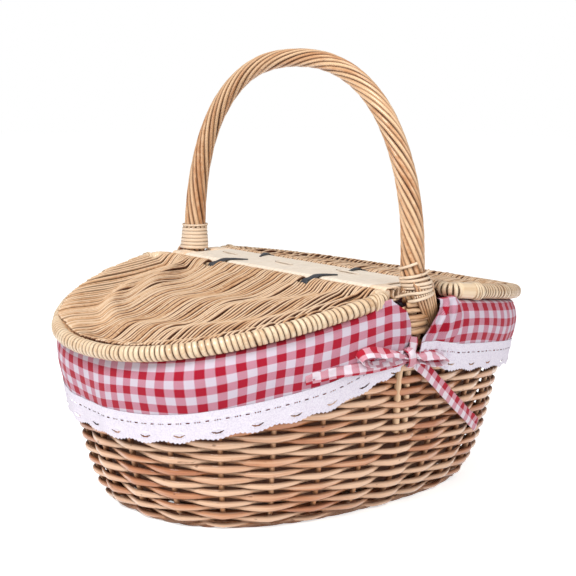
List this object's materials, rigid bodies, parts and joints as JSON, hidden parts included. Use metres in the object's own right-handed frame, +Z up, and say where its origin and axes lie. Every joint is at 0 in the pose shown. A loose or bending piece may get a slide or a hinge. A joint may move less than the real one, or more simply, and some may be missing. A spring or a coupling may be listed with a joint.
{
  "type": "picnic basket",
  "caption": "Oval woven willow picnic basket with hinged lids either side of a wound cross bar, a tall arched handle and a tied gingham cotton liner edged with lace.",
  "frame": {"origin": "on the ground, under the middle of the basket, in the plane of the handle", "axes": "+Z up, +X along the basket's length towards the back lid, Y along the cross bar between the handle's feet"},
  "size_m": [0.4174, 0.3194, 0.3574],
  "materials": {
    "wall_willow": "satin, varnished, with darker ends and lighter worn edges",
    "stake_willow": "satin, a little darker than the weavers",
    "handle_willow": "glossy varnish on twisted rods",
    "peeled_willow": "glossy varnish on pale peel",
    "lid_willow": "satin, varnished fine rods",
    "strap_leather": "near black, slightly shiny",
    "gingham_cotton": "red and white gingham, plain weave cotton",
    "lace": "white cotton lace",
    "ribbon_cotton": "red and white gingham, cut and hemmed as ribbon"
  },
  "bodies": {
    "basket": {"foot_border": "peeled_willow", "stake_frame": "stake_willow", "base_weaver_1": "wall_willow", "base_weaver_2": "wall_willow", "base_weaver_3": "wall_willow", "base_weaver_4": "wall_willow", "base_weaver_5": "wall_willow", "weaver_01": "wall_willow", "weaver_02": "wall_willow", "weaver_03": "wall_willow", "weaver_04": "wall_willow", "weaver_05": "wall_willow", "weaver_06": "wall_willow", "weaver_07": "wall_willow", "weaver_08": "wall_willow", "weaver_09": "wall_willow", "weaver_10": "wall_willow", "weaver_11": "wall_willow", "weaver_12": "wall_willow", "weaver_13": "wall_willow", "weaver_14": "wall_willow", "weaver_15": "wall_willow", "weaver_16": "wall_willow", "weaver_17": "wall_willow", "weaver_18": "wall_willow", "rim_border_front": "wall_willow", "rim_border_back": "wall_willow", "handle": "handle_willow", "collar_near": "peeled_willow", "collar_far": "peeled_willow", "bar_slat": "peeled_willow", "bar_winding": "peeled_willow", "strap_front_1": "strap_leather", "strap_front_2": "strap_leather", "strap_back_1": "strap_leather", "strap_back_2": "strap_leather", "liner": "gingham_cotton", "lace_front": "lace", "lace_back": "lace", "bow_near": "ribbon_cotton", "bow_far": "ribbon_cotton"},
    "lid_front": {"lid_front_frame": "peeled_willow", "lid_front_binding": "peeled_willow", "lid_front_rib_1": "lid_willow", "lid_front_rib_2": "lid_willow", "lid_front_rib_3": "lid_willow", "lid_front_rib_4": "lid_willow", "lid_front_weave": "lid_willow"},
    "lid_back": {"lid_back_frame": "peeled_willow", "lid_back_binding": "peeled_willow", "lid_back_rib_1": "lid_willow", "lid_back_rib_2": "lid_willow", "lid_back_rib_3": "lid_willow", "lid_back_rib_4": "lid_willow", "lid_back_weave": "lid_willow"}
  },
  "joints": [
    {"name": "lid_front_hinge", "type": "hinge", "parent": "basket", "child": "lid_front", "pos_m": [-0.03503, 0, 0.1744], "axis": [0, 1, 0], "range_deg": [0, 105]},
    {"name": "lid_back_hinge", "type": "hinge", "parent": "basket", "child": "lid_back", "pos_m": [0.03503, 0, 0.1744], "axis": [0, -1, 0], "range_deg": [0, 100]}
  ]
}
